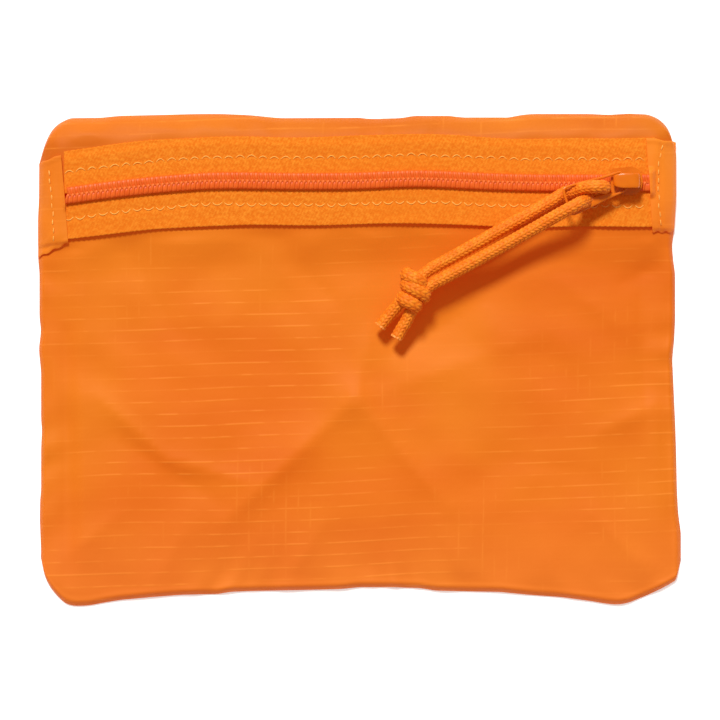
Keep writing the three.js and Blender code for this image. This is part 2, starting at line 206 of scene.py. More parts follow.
def tube(points, radius, sides, radius_across=None, guide=None, relief=None, square=1.0):
    """Rings round a line, as points, faces and the relief at each point.

    radius_across is for the second of across_line's directions. relief(angle, distance) adds
    to both radii, and a square below 1 makes the section boxy.
    """
    points = np.asarray(points, float)
    normal, side = across_line(points, guide)
    along = distance_along(points)
    angle = np.arange(sides) * TAU / sides
    ones = np.ones((len(points), sides))
    out = np.reshape(radius, (-1, 1)) * ones
    wide = out if radius_across is None else np.reshape(radius_across, (-1, 1)) * ones
    extra = relief(angle[None, :], along[:, None]) * ones if relief else 0 * ones
    out, wide = out + extra, wide + extra
    cosine, sine = signed_power(np.cos(angle), square), signed_power(np.sin(angle), square)
    verts = (
        points[:, None, :]
        + normal[:, None, :] * (out * cosine)[:, :, None]
        + side[:, None, :] * (wide * sine)[:, :, None]
    ).reshape(-1, 3)
    extra = extra.reshape(-1)
    faces = grid_faces(len(points), sides, wrap=True)
    for end in (0, 1):     # a fan of triangles closes each end
        ring = end * (len(points) - 1) * sides
        verts = np.vstack([verts, points[-end][None]])
        extra = np.append(extra, 0)
        for j in range(sides):
            k = (j + 1) % sides
            faces.append((len(verts) - 1, ring + (j if end else k), ring + (k if end else j)))
    return verts, faces, extra


def joined(parts):
    """Joins (points, faces, value for each point) triples into one."""
    verts, faces, values, start = [], [], [], 0
    for part_verts, part_faces, part_values in parts:
        verts.append(part_verts)
        values.append(part_values)
        faces += [tuple(i + start for i in face) for face in part_faces]
        start += len(part_verts)
    return np.vstack(verts), faces, np.concatenate(values)


def store(obj, name, values):
    """Keeps a number for each point on the mesh, for its material to read."""
    layer = obj.data.attributes.new(name, "FLOAT", "POINT")
    layer.data.foreach_set("value", np.asarray(values, np.float32))


def modify(obj, kind, **settings):
    modifier = obj.modifiers.new(kind.title(), kind)
    for key, value in settings.items():
        setattr(modifier, key, value)
    return modifier


# ---- Camera ----
FIELD = 224.6          # width of what the frame takes in, at the height of the sack's front
FRONT_HEIGHT = 3.0
CAMERA_PLACE = (0.16, -0.3, 1500.0)
SENSOR = 36.0

camera_data = bpy.data.cameras.new("camera")
camera = add_object("camera", camera_data)
camera.location = tuple(part * MM for part in CAMERA_PLACE)
camera_data.sensor_width = SENSOR
camera_data.lens = SENSOR * (CAMERA_PLACE[2] - FRONT_HEIGHT) / FIELD
camera_data.clip_start, camera_data.clip_end = 0.1, 10     # metres
bpy.context.scene.camera = camera


# ---- Materials ----
SHEEN_ROUGHNESS = 0.45
# Colour of the painted glow, which reddens the shade.
PAINTED_GLOW_COLOUR = (1, 0.015, 0, 1)


class Finish:
    """A material being made, with short names for the nodes it is made from."""

    def __init__(self, name, roughness, specular, sheen=0.0):
        self.material = bpy.data.materials.new(name)
        self.material.use_nodes = True
        self.tree = self.material.node_tree
        self.shader = self.tree.nodes["Principled BSDF"]
        self.set("Roughness", roughness)
        self.set("Specular IOR Level", specular)
        self.set("Sheen Weight", sheen)
        self.set("Sheen Roughness", SHEEN_ROUGHNESS)
        self.position = self.tree.nodes.new("ShaderNodeTexCoord").outputs["Object"]
        split = self.tree.nodes.new("ShaderNodeSeparateXYZ")
        self.tree.links.new(self.position, split.inputs[0])
        self.x, self.y = split.outputs[:2]

    def set(self, socket, value):
        self.shader.inputs[socket].default_value = value

    def painted_glow(self, strength):
        """Painted glow: a little light of its own, which lifts and reddens the shade."""
        self.set("Emission Color", PAINTED_GLOW_COLOUR)
        self.set("Emission Strength", strength)

    def feed(self, socket, value):
        """Gives a socket a number, a colour as srgb takes it, or another socket's output."""
        if isinstance(value, tuple):
            value = srgb(*value)
        if isinstance(value, (int, float, tuple)):
            socket.default_value = value
        else:
            self.tree.links.new(value, socket)

    def math(self, kind, *values):
        node = self.tree.nodes.new("ShaderNodeMath")
        node.operation = kind
        for socket, value in zip(node.inputs, values):
            self.feed(socket, value)
        return node.outputs[0]

    def times(self, first, second):
        return self.math("MULTIPLY", first, second)

    def plus(self, first, second):
        return self.math("ADD", first, second)

    def noise(self, waves, detail=2.0, stretch=(1, 1, 1), seed=0.0):
        """Smooth noise, with about that many waves in a metre."""
        place = self.tree.nodes.new("ShaderNodeMapping")
        place.inputs["Scale"].default_value = stretch
        place.inputs["Location"].default_value = (seed, seed * 0.7, seed * 1.3)
        self.feed(place.inputs["Vector"], self.position)
        node = self.tree.nodes.new("ShaderNodeTexNoise")
        node.inputs["Scale"].default_value = waves
        node.inputs["Detail"].default_value = detail
        self.feed(node.inputs["Vector"], place.outputs[0])
        return node.outputs["Fac"]

    def spread(self, value, low, high):
        """0 at low, 1 at high, smooth between."""
        node = self.tree.nodes.new("ShaderNodeMapRange")
        node.interpolation_type = "SMOOTHSTEP"
        node.inputs["From Min"].default_value = low
        node.inputs["From Max"].default_value = high
        self.feed(node.inputs["Value"], value)
        return node.outputs["Result"]

    def patches(self, low, high, waves, detail=2.0, stretch=(1, 1, 1), seed=0.0):
        """Noise made into soft patches: 0 where it is under low, 1 where it is over high."""
        return self.spread(self.noise(waves, detail, stretch, seed), low, high)

    def blend(self, share, first, second):
        """The first colour where share is 0, and the second where it is 1."""
        node = self.tree.nodes.new("ShaderNodeMix")
        node.data_type = "RGBA"
        self.feed(node.inputs[0], share)
        self.feed(node.inputs[6], first)
        self.feed(node.inputs[7], second)
        return node.outputs[2]

    def attribute(self, name):
        node = self.tree.nodes.new("ShaderNodeAttribute")
        node.attribute_name = name
        return node.outputs["Fac"]

    def bump(self, height, depth, strength, under=None):
        node = self.tree.nodes.new("ShaderNodeBump")
        node.inputs["Distance"].default_value = depth * MM
        node.inputs["Strength"].default_value = strength
        self.feed(node.inputs["Height"], height)
        if under is not None:
            self.feed(node.inputs["Normal"], under)
        return node.outputs["Normal"]

    def wave(self, value, pitch):
        return self.math("SINE", self.times(value, TAU / (pitch * MM)))

    def done(self, colour, normal=None):
        self.feed(self.shader.inputs["Base Color"], colour)
        if normal is not None:
            self.feed(self.shader.inputs["Normal"], normal)
        return self.material


CLOTH_PAINTED_GLOW = 0.15      # painted glow: light of its own, which lifts and reddens the cloth's shade
RIPSTOP_GRID = 3.8     # distance between the thick yarns
YARN_SHARPNESS = 42.0  # power of a cosine: a high one makes a thin line
YARN_WANDER = 4.0
ROW_SLANT = 0.035      # the rows climb a little to the right
WEAVE_PITCH = 0.42


def ripstop_finish(name, warm, light):
    """Thin coated nylon: a fine weave, and real thick yarns both ways, whose pale colour is a
    painted sheen that shows in patches.
    """
    f = Finish(name, roughness=0.55, specular=0.14, sheen=0.02)
    f.painted_glow(CLOTH_PAINTED_GLOW)

    def yarns(value, seed):
        wander = f.times(f.math("SUBTRACT", f.noise(14, 1.0, seed=seed), 0.5), YARN_WANDER * MM)
        turn = f.times(f.plus(value, wander), math.pi / (RIPSTOP_GRID * MM))
        return f.math("POWER", f.math("ABSOLUTE", f.math("COSINE", turn)), YARN_SHARPNESS)

    def yarn_sheen(lines, faintest, regions, least, most, pieces):
        """Painted sheen on the yarns, which fades in and out by regions, and again in short
        pieces.
        """
        lines = f.times(lines, f.plus(faintest, regions))
        return f.times(lines, f.plus(least, f.times(pieces, most)))

    rows = yarn_sheen(
        yarns(f.math("SUBTRACT", f.y, f.times(f.x, ROW_SLANT)), 3.1),
        0.08, f.patches(0.4, 0.66, 30, 3.0, (0.5, 1.1, 1), 1.7),
        0.22, 0.8, f.patches(0.42, 0.6, 170, 2.0, (0.7, 1.5, 1), 2.2),
    )
    columns = yarn_sheen(
        yarns(f.x, 9.4),
        0.03, f.patches(0.5, 0.68, 34, 2.0, (1.1, 0.7, 1), 6.2),
        0.05, 0.55, f.patches(0.46, 0.62, 190, 2.0, (1.3, 0.6, 1), 5.9),
    )
    lines = f.math("MAXIMUM", rows, columns)
    weave = f.times(f.wave(f.x, WEAVE_PITCH), f.wave(f.y, WEAVE_PITCH))
    colour = f.blend(f.patches(0.32, 0.7, 15, 3.0, seed=4.4), warm, light)
    streaks = f.times(f.patches(0.3, 0.75, 60, 3.0, (0.25, 1.4, 1), 8.8), 0.3)
    colour = f.blend(streaks, colour, (224, 134, 32))
    # Painted light: the cloth is painted paler towards the bottom, to lift the shade where it
    # slopes down to its edge.
    painted_light_low = f.times(f.spread(f.y, -0.035, -0.075), 0.3)
    colour = f.blend(painted_light_low, colour, (232, 142, 62))
    # Painted sheen: the thick yarns are painted paler where the sheen shows.
    colour = f.blend(f.times(lines, 0.24), colour, (250, 170, 66))
    normal = f.bump(weave, 0.03, 0.2)
    normal = f.bump(lines, 0.1, 0.4, under=normal)
    normal = f.bump(f.noise(110, 3.0, seed=5.5), 0.5, 0.3, under=normal)
    return f.done(colour, normal)


TAPE_PAINTED_GLOW_SHARE = 0.35     # share of the cloth's painted glow that the tape takes
RIB_PITCH, RIB_ROW = 0.95, 0.8


def tape_finish():
    """Knitted zip tape: fine slanted ribs with light and dark specks."""
    f = Finish("zip_tape_knit", roughness=0.85, specular=0.08, sheen=0.04)
    f.painted_glow(TAPE_PAINTED_GLOW_SHARE * CLOTH_PAINTED_GLOW)
    wander = f.times(f.noise(300, 1.0, seed=4.0), 1.6 * MM)
    slanted = f.plus(f.plus(f.x, f.times(f.y, 0.7)), wander)
    knit = f.times(f.wave(slanted, RIB_PITCH), f.wave(f.plus(f.y, wander), RIB_ROW))
    height = f.plus(f.times(knit, 0.1), f.noise(1100, 3.0, seed=2.0))
    colour = f.blend(f.spread(height, 0.3, 0.78), (218, 116, 22), (234, 146, 42))
    cloudy = f.times(f.patches(0.3, 0.7, 40, seed=7.0), 0.35)
    colour = f.blend(cloudy, colour, (226, 122, 26))
    return f.done(colour, f.bump(height, 0.3, 0.5))


# share of the cloth's painted glow that the coil takes
COIL_PAINTED_GLOW_SHARE = 0.5


def coil_finish():
    """Nylon wire, with a painted highlight: paler on the tops of the heads that stand up along the
    middle of the chain.
    """
    f = Finish("coil_nylon", roughness=0.42, specular=0.2)
    f.painted_glow(COIL_PAINTED_GLOW_SHARE * CLOTH_PAINTED_GLOW)
    body = f.blend(f.patches(0.3, 0.7, 700, seed=1.0), (214, 95, 27), (224, 108, 36))
    # painted highlight on the tops of the heads
    colour = f.blend(f.attribute("head"), body, (238, 136, 66))
    return f.done(colour, f.bump(f.noise(2500), 0.02, 0.3))


def cord_finish():
    """Braided sheath: fine fibres on the modelled strands, with painted shade in the grooves
    between them.
    """
    f = Finish("cord_sheath", roughness=0.55, specular=0.2, sheen=0.04)
    tone = f.patches(0.3, 0.75, 500, 3.0, seed=3.0)
    base = f.blend(tone, (235, 119, 14), (246, 147, 32))
    # Painted shade: darker in the grooves between the strands.
    colour = f.blend(f.attribute("groove_painted_shade"), base, (204, 82, 6))
    return f.done(colour, f.bump(f.noise(2600, seed=4.0), 0.08, 0.5))


def melted_end_highlight_finish():
    """The sealed end of a cut cord, painted pale as a painted highlight."""
    f = Finish("cord_end_melted_highlight", roughness=0.5, specular=0.4)
    tone = f.patches(0.3, 0.7, 900, 3.0, seed=6.0)
    colour = f.blend(tone, (246, 138, 40), (252, 168, 78))
    return f.done(colour, f.bump(f.noise(1400), 0.1, 0.7))


def paint_finish():
    """Smooth gloss paint over cast metal."""
    f = Finish("slider_paint", roughness=0.24, specular=0.3)
    colour = f.blend(f.patches(0.3, 0.7, 160, seed=5.0), (217, 107, 10), (227, 119, 16))
    return f.done(colour, f.bump(f.noise(320, seed=2.0), 0.05, 0.25))


def steel_finish():
    """Bright spring steel with a fine grain along it."""
    f = Finish("spring_steel", roughness=0.3, specular=0.5)
    f.set("Metallic", 1.0)
    grain = f.noise(3000, stretch=(0.1, 1, 1))
    colour = f.blend(grain, (150, 152, 156), (196, 198, 200))
    return f.done(colour, f.bump(grain, 0.02, 0.4))


THREAD_TWIST = 0.35


def thread_finish(name, light, dark):
    """Twisted sewing thread."""
    f = Finish(name, roughness=0.5, specular=0.4)
    twist = f.wave(f.plus(f.x, f.times(f.y, 0.6)), THREAD_TWIST)
    tone = f.spread(f.plus(f.times(twist, 0.3), f.noise(600)), 0.1, 0.9)
    return f.done(f.blend(tone, dark, light), f.bump(twist, 0.05, 0.5))


RIPSTOP = ripstop_finish("ripstop_front", (205, 109, 20), (210, 126, 26))
RIPSTOP_TOP = ripstop_finish("ripstop_top", (185, 99, 17), (190, 113, 21))
# The end tabs take copies of the same cloth that differ by painted light: the left one painted
# darker, the right one paler.
TAB_LEFT_SHADED = ripstop_finish("ripstop_tab_left_shaded", (208, 120, 27), (212, 134, 32))
TAB_RIGHT_LIT = ripstop_finish("ripstop_tab_right_lit", (221, 128, 33), (225, 143, 38))
TAPE = tape_finish()
COIL = coil_finish()
CORD = cord_finish()
MELTED_END_HIGHLIGHT = melted_end_highlight_finish()
PAINT = paint_finish()
STEEL = steel_finish()
THREAD = thread_finish("thread_pale", (255, 198, 96), (248, 160, 54))
SEAM_THREAD = thread_finish("thread_seam", (255, 168, 60), (240, 130, 40))


# ---- Pull cord ----
CORD_RADIUS = 2.0
BRAID_COLUMNS = 6      # columns of V shapes round the cord
BRAID_PITCH = 1.44     # from one V to the next
BRAID_RISE = 0.32      # how far a strand stands over the groove beside it
BRAID_LEVEL = 0.75     # share of the rise that lies inside the cord's radius
BRAID_SLANT = 0.62     # how far an arm of a V runs along the cord, in pitches
BRAID_SIDES = 72
BRAID_STEP = 0.15
MELTED_ROWS = 4        # steps of cord at the end of each tail that are sealed and painted with a highlight

# The routes are those of the CAD source, here in metres.
UPPER_LEG = [
    (0.076, 0.0532, 0.0129), (0.0759, 0.0533, 0.0136), (0.0752, 0.0534, 0.0144),
    (0.0741, 0.0534, 0.0148), (0.0719, 0.0533, 0.0146), (0.0698, 0.0531, 0.0135),
    (0.0679, 0.0525, 0.0119), (0.0661, 0.052, 0.0107), (0.0641, 0.0517, 0.0104),
    (0.0595, 0.049, 0.0106), (0.052, 0.0447, 0.0111), (0.043, 0.0396, 0.0113),
    (0.034, 0.0345, 0.011), (0.0275, 0.0309, 0.0107), (0.0223, 0.028, 0.0106),
]
LOWER_LEG = [
    (0.076, 0.0531, 0.0119), (0.0759, 0.053, 0.0114), (0.0755, 0.0528, 0.0108),
    (0.0747, 0.0523, 0.0103), (0.0735, 0.0515, 0.01), (0.0723, 0.0506, 0.0099),
    (0.0711, 0.0498, 0.0106), (0.0703, 0.0492, 0.012), (0.0696, 0.0488, 0.0137),
    (0.0685, 0.0484, 0.0154), (0.067, 0.0476, 0.0165), (0.0652, 0.0466, 0.0168),
    (0.0625, 0.0452, 0.0164), (0.055, 0.0409, 0.0144), (0.046, 0.0359, 0.0129),
    (0.037, 0.031, 0.0118), (0.03, 0.0272, 0.0111), (0.0243, 0.0242, 0.0107),
]
LEFT_TAIL = [
    (0.0124, 0.0174, 0.0094), (0.0106, 0.0152, 0.0087), (0.0084, 0.0126, 0.0084),
    (0.0063, 0.01, 0.0083),
]
RIGHT_TAIL = [
    (0.0159, 0.0146, 0.0093), (0.0147, 0.012, 0.0087), (0.013, 0.0092, 0.0084),
    (0.0114, 0.0064, 0.0083),
]


def braid(angle, along):
    """Height of a round braid: columns of staggered V shapes, each strand rounded by itself."""
    column = angle * BRAID_COLUMNS / TAU
    place = column % 1
    inwards = np.abs(2 * place - 1)
    stagger = 0.5 * (place > 0.5) + 0.5 * (np.floor(column) % 2)
    phase = along / BRAID_PITCH + BRAID_SLANT * inwards + stagger
    across = 0.35 + 0.65 * np.abs(np.sin(TAU * place)) ** 0.5
    lengthwise = np.abs(np.sin(math.pi * phase)) ** 0.6
    return BRAID_RISE * (across * lengthwise - BRAID_LEVEL)


def groove_depth(relief):
    """0 on the strands and 1 at the bottom of the grooves, for the painted shade there."""
    return np.clip(-relief / BRAID_RISE * 1.4 - 0.3, 0, 1)


def in_mm(points):
    return np.asarray(points) / MM


def leg(name, route, node):
    """One strand of the cord, from the tab's end bar to the knot, and the line it follows."""
    line = spline(in_mm(route), BRAID_STEP)
    verts, faces, relief = tube(line, CORD_RADIUS, BRAID_SIDES, relief=braid)
    obj = make_piece(name, verts, faces, [CORD], "pull", "cord", node)
    store(obj, "groove_painted_shade", groove_depth(relief))
    return obj, line


leg_upper, line_upper = leg("cord_strand_upper", UPPER_LEG, "cord_leg_upper")
leg_lower, line_lower = leg("cord_strand_lower", LOWER_LEG, "cord_leg_lower")

# The knot: a wrap round the strands, seen from the front as three bands, and two tails below it.
# Each turn lies square to the knot in front, and climbs to the next one behind.
KNOT_AXIS = np.array([-0.44, -0.898, 0.0])   # down the knot, towards the tails
KNOT_ACROSS = np.array([0.898, -0.44, 0.0])
KNOT_TOP = np.array([18.9, 26.6, 10.7])
UP = np.array([0.0, 0.0, 1.0])
KNOT_TURN = [-0.35, -0.2, 0.2, 0.8, 1.2, 1.8, 2.2, 2.4]   # turns made; the lists below go by it
KNOT_DOWN = [1.8, 2.3, 2.5, 5.0, 5.4, 9.3, 9.6, 10.2]     # how far down the knot
KNOT_SHIFT = [-1.2, -1.2, -0.9, 0.7, 1.1, 1.1, 0.9, 0.6]  # how far its middle is to the side
KNOT_REACH = [2.6, 2.8, 3.0, 3.4, 3.5, 2.8, 2.7, 2.4]     # half of its width
KNOT_DEPTH = [2.0, 2.1, 2.2, 2.3, 2.3, 1.9, 1.8, 1.6]     # half of its depth
KNOT_PLACES = 240
EASE = 10              # places on each side that a place is averaged with
WRAP_RADIUS, WRAP_RADIUS_ACROSS = 1.8, 2.25
TAIL_RADIUS, INNER_RADIUS = 1.95, 1.9
INNER_STEP = 0.3
INNER_FROM = 10        # steps of the inner strands' line that the legs already cover


def knot_turns():
    """Centreline of the wrap, and its outward directions."""
    turn = np.linspace(KNOT_TURN[0], KNOT_TURN[-1], KNOT_PLACES)
    window = np.hanning(2 * EASE + 1)

    def eased(values):
        line = np.interp(turn, KNOT_TURN, values)
        padded = np.pad(line, EASE, mode="edge")
        return np.convolve(padded, window / window.sum(), mode="valid")

    down, shift, reach, depth = (eased(v) for v in (KNOT_DOWN, KNOT_SHIFT, KNOT_REACH, KNOT_DEPTH))
    angle = turn * TAU + math.pi / 2
    outward = -np.cos(angle)[:, None] * KNOT_ACROSS + np.sin(angle)[:, None] * UP
    sideways = shift - reach * np.cos(angle)
    line = KNOT_TOP + down[:, None] * KNOT_AXIS + sideways[:, None] * KNOT_ACROSS
    return line + (depth * np.sin(angle))[:, None] * UP, outward


def braided(line, radius, radius_across=None, guide=None):
    fine = resample(line, BRAID_STEP)
    if guide is not None:
        given, wanted = np.linspace(0, 1, len(line)), np.linspace(0, 1, len(fine))
        guide = np.column_stack([np.interp(wanted, given, guide[:, k]) for k in range(3)])
    return tube(fine, radius, BRAID_SIDES, radius_across, guide, relief=braid)


wrap_line, wrap_out = knot_turns()
knot_parts = [braided(wrap_line, WRAP_RADIUS, WRAP_RADIUS_ACROSS, wrap_out)]
melted = [np.zeros(len(knot_parts[0][1]), int)]     # for each face, 1 where it is sealed and painted with the highlight
for route, start in ((LEFT_TAIL, (15.6, 21.0, 10.4)), (RIGHT_TAIL, (18.4, 19.4, 10.4))):
    tail = braided(spline(np.vstack([start, in_mm(route)]), INNER_STEP), TAIL_RADIUS)
    knot_parts.append(tail)
    sealed = np.zeros(len(tail[1]), int)
    sealed[-(MELTED_ROWS + 2) * BRAID_SIDES:-2 * BRAID_SIDES] = 1
    sealed[-BRAID_SIDES:] = 1
    melted.append(sealed)
for route, end in ((UPPER_LEG, (17.6, 24.6, 10.8)), (LOWER_LEG, (20.2, 21.6, 10.7))):
    inner_line = spline(np.vstack([in_mm(route[-2:]), end]), INNER_STEP)[INNER_FROM:]
    knot_parts.append(braided(inner_line, INNER_RADIUS))
    melted.append(np.zeros(len(knot_parts[-1][1]), int))
knot_verts, knot_faces, knot_relief = joined(knot_parts)
knot = make_piece(
    "cord_overhand_knot", knot_verts, knot_faces, [CORD, MELTED_END_HIGHLIGHT], "pull", "cord",
    "cord_knot", "cord_tail_left", "cord_tail_right",
)
knot.data.polygons.foreach_set("material_index", np.concatenate(melted))
store(knot, "groove_painted_shade", groove_depth(knot_relief))


# ---- The sack's outline and the line of the zip ----
# Corners along each sewn edge: (x, y) for the top and bottom, (y, inset) for the sides.
TOP_LINE = [
    (-100.4, 60), (-98.9, 67), (-96.4, 71.6), (-93.6, 74), (-90.5, 75.3), (-81, 75.4), (-75, 76),
    (-62, 76.3), (-50, 76.6), (-43, 76.6), (-34, 76.2), (-25, 75.3), (0, 75.4), (3.3, 75),
    (13, 75.3), (17, 76), (28, 76), (32, 75.5), (47, 75.5), (50, 76.2), (54, 76.6), (72, 76.6),
    (78, 76.3), (85, 76.7), (91, 76.4), (94, 75.2), (96.5, 73.3), (98.4, 70.6), (99.6, 67),
    (100.4, 60),
]
BOTTOM_LINE = [
    (-100.4, -60), (-99.9, -65), (-98.4, -69), (-96.4, -72.2), (-93.6, -75.2), (-91.5, -76.8),
    (-88, -77.2), (-84, -76.9), (-81, -76.3), (-75, -75.3), (-65, -74.4), (-56, -73.7),
    (-43.5, -73.4), (-41, -72.8), (-34, -72.5), (-18, -72.2), (-6, -71.9), (0, -71.3),
    (9.5, -71.3), (19, -71.6), (24, -72.4), (44, -72.8), (53, -73.7), (63, -74.4), (72, -75.6),
    (78, -76.6), (81.5, -76.7), (84.5, -76), (87.7, -74.7), (90.8, -73.4), (94, -71.9),
    (97, -70.3), (99.4, -68.6), (100.2, -65), (100.4, -60),
]
LEFT_INSET = [
    (-70, 0.5), (-60, 0.9), (-50, 0.5), (-44, 0.6), (-41, 0.9), (-28, 0.9), (-22, 1.2), (-19, 0.9),
    (-4, 0.9), (3, 0.2), (9, 0.9), (13, 0.4), (27, 0.4), (31, 0), (44, 0), (50, 0.3), (62, 0.4),
    (76, 0.4),
]
RIGHT_INSET = [
    (-70, 0), (-54, 0), (-50, 0.6), (-47, 0.9), (-41, 1.2), (-28, 1.5), (-19, 1.8), (-13, 2.1),
    (-6, 2.4), (0, 2.7), (6, 2.1), (12, 1.8), (27, 1.8), (31, 2.4), (35.6, 2.75), (40, 2.1),
    (50, 1.5), (65, 1.5), (76, 1.2),
]
SIDE_ROUNDNESS = 1.2
END_ROUNDNESS = 0.8    # of the top and bottom lines


def soft_line(corners, place, roundness=SIDE_ROUNDNESS):
    """The line through the corners, rounded a little at each."""
    corners = np.array(corners, float)
    total = 0
    shifts = np.linspace(-roundness, roundness, 7)
    for shift in shifts:
        total = total + np.interp(place + shift, corners[:, 0], corners[:, 1])
    return total / len(shifts)


def bottom_and_top(x):
    return soft_line(BOTTOM_LINE, x, END_ROUNDNESS), soft_line(TOP_LINE, x, END_ROUNDNESS)


def outline(u, v):
    """Where (u, v), each from -1 to 1 over the sack, lies in the plane."""
    x = u * HALF_W
    low, high = bottom_and_top(x)
    y = low + (high - low) * (v + 1) / 2
    near = np.abs(u) ** 5
    x = x + near * np.where(u < 0, soft_line(LEFT_INSET, y), -soft_line(RIGHT_INSET, y))
    return x, y


def zip_line(x):
    """The y of the middle of the chain: it sags to the left, and bows up a little on the way."""
    sag = 0.0148 * np.maximum(0, -46 - x) ** 1.5
    bows = 0.85 * hump(x, 18, 15) + 0.25 * hump(x, -38, 12)
    return ZIP_Y - sag + bows - 0.45 * smooth01((x - 30) / 30)


# ---- Pouch ----
SACK_HEIGHT = 150.0
EDGE_HEIGHT = 0.45     # of the front over the floor, where it is sewn to the back
RIM_HEIGHT = 1.25      # of the round turn beside that
CHEEK = 1.4            # its width
UNDER_TAPE = TAPE_FOOT - 0.15
BODY_HEIGHT = 3.6      # of the empty sack below its zip
CEILING = TAPE_FOOT + 0.1   # for the folds, as the cord passes over them
FABRIC = 0.22          # thickness of the ripstop
ZIP_SHOULDER = 8.0     # how far in from the side the zip reaches its full height
TAPE_STEP_SHARE = 0.3  # of the fall from the zip to the body, the part that is a step
ZIP_SLOT = 1.0         # half of the gap in the front fabric behind the chain
GRID = 2.1             # cloth cell
CROWDING = 1.12        # above 1, the cells are smaller by the edges


def side_distance(x, y):
    """Distance from the nearer of the two side edges."""
    left = x + HALF_W - soft_line(LEFT_INSET, y)
    right = HALF_W - soft_line(RIGHT_INSET, y) - x
    return np.minimum(left, right)


def edge_distance(x, y):
    low, high = bottom_and_top(x)
    return np.minimum(side_distance(x, y), np.minimum(y - low, high - y))


def zip_rise(distance):
    """Height of the cloth under the tapes at a distance from the sewn edge."""
    share = 1 - (1 - np.clip(distance / ZIP_SHOULDER, 0, 1)) ** 2
    return RIM_HEIGHT + (UNDER_TAPE - RIM_HEIGHT) * share


def lay(x, y):
    """How far the zip is below its middle's height: 0 there, and negative by its two ends."""
    return zip_rise(np.maximum(side_distance(x, y), 0)) - UNDER_TAPE


def front_rise(distance, x, y):
    """Height of the front: a round turn at the edge, a long slope, and a step up to the zip."""
    cheek = np.sqrt(np.clip(1 - (1 - np.clip(distance / CHEEK, 0, 1)) ** 2, 0, 1))
    offset = zip_line(x) - y
    step, slope = smooth01((offset - 13.2) / 2.4), smooth01((offset - 14) / 14)
    by_zip = 1 - TAPE_STEP_SHARE * step - (1 - TAPE_STEP_SHARE) * slope
    body = RIM_HEIGHT + (BODY_HEIGHT - RIM_HEIGHT) * smooth01(0.45 + distance / 55)
    height = body + (zip_rise(distance) - body) * by_zip
    return EDGE_HEIGHT + (height - EDGE_HEIGHT) * cheek


def grid_places(count):
    """From -1 to 1, closer together near both ends."""
    t = np.linspace(-1, 1, count)
    return np.sign(t) * (1 - (1 - np.abs(t)) ** CROWDING)


columns = int(2 * HALF_W / GRID)
rows = int(SACK_HEIGHT / GRID)
grid_u, grid_v = np.meshgrid(grid_places(columns), grid_places(rows))
flat_x, flat_y = outline(grid_u, grid_v)
distance = np.maximum(edge_distance(flat_x, flat_y), 0)
distance[[0, -1], :] = 0
distance[:, [0, -1]] = 0
start_z = front_rise(distance, flat_x, flat_y)

# Folds left in the cloth by packing: (start, end, height, width). A negative height is a valley.
FOLDS = [
    ((3, 8), (-2, -13), 0.9, 4), ((-2, -13), (-41, -50), 1.9, 7), ((0, -13), (27, -46), 1.6, 6),
    ((38, 18), (10, 2), -2.2, 13), ((2, -12), (58, 8), 0.9, 8), ((-81, -12), (-60, -31), 1.5, 4.5),
    ((-60, -31), (-36, -38), 1.3, 5), ((-20, 30), (-6, 16), -1.0, 8),
    ((-76, -24), (-44, -45), -0.7, 5), ((-92, 8), (-91, -70), -1.0, 2.4),
    ((-87, 4), (-86, -62), 0.7, 3.5), ((92, -17), (96, -40), 0.9, 3),
    ((88, 20), (90, -20), -1.0, 5), ((98, -12), (74, -23), 0.8, 3.5),
    ((-94, -64), (-76, -49), 0.7, 4), ((93, -70), (74, -49), 0.9, 5),
    ((-72, 33), (-58, 8), -0.7, 5), ((-89, 34), (-85, 10), 0.7, 4), ((60, 26), (84, 8), 0.8, 7),
    ((40, -30), (72, -36), -0.6, 7), ((-30, 34), (-12, 12), 0.6, 7),
    ((-24, -72), (-12, -52), 0.6, 4), ((34, -72), (24, -50), 0.6, 4),
    ((-66, -74), (-56, -56), 0.6, 4), ((62, -74), (56, -54), 0.5, 4),
    ((96, 30), (82, 24), -0.7, 3),
]
FOLD_CREST = 1.1       # radius of the top of a fold


def fold_height(x, y):
    """All the folds together. Each is highest halfway along, and slopes off to both sides."""
    total = 0 * x
    for start, end, height, width in FOLDS:
        a, b = np.array(start, float), np.array(end, float)
        along = b - a
        share = ((x - a[0]) * along[0] + (y - a[1]) * along[1]) / np.dot(along, along)
        share = np.clip(share, 0, 1)
        gap = np.hypot(x - a[0] - share * along[0], y - a[1] - share * along[1])
        slope = np.exp(-(np.hypot(gap, FOLD_CREST) - FOLD_CREST) / width)
        total = total + height * slope * (0.55 + 0.45 * np.sin(math.pi * share))
    return total


CLOTH_FRAMES = 24
CLOTH_SETTINGS = {
    "quality": 6, "mass": 0.08, "tension_stiffness": 25, "compression_stiffness": 25,
    "shear_stiffness": 12, "bending_stiffness": 0.25, "air_damping": 4,
}
CUT_LARGER = 1.008     # the cloth against the outline that its edge is held to
HELD_EDGE = 1.2        # width of the sewn edge that stays where it is
HELD_ZIP = 12.0        # half of the width that the zip holds
MOST_SHIFT = 2.5       # what the settling may change, sideways, down and up
MOST_DROP, MOST_RISE = 2.8, 2.4


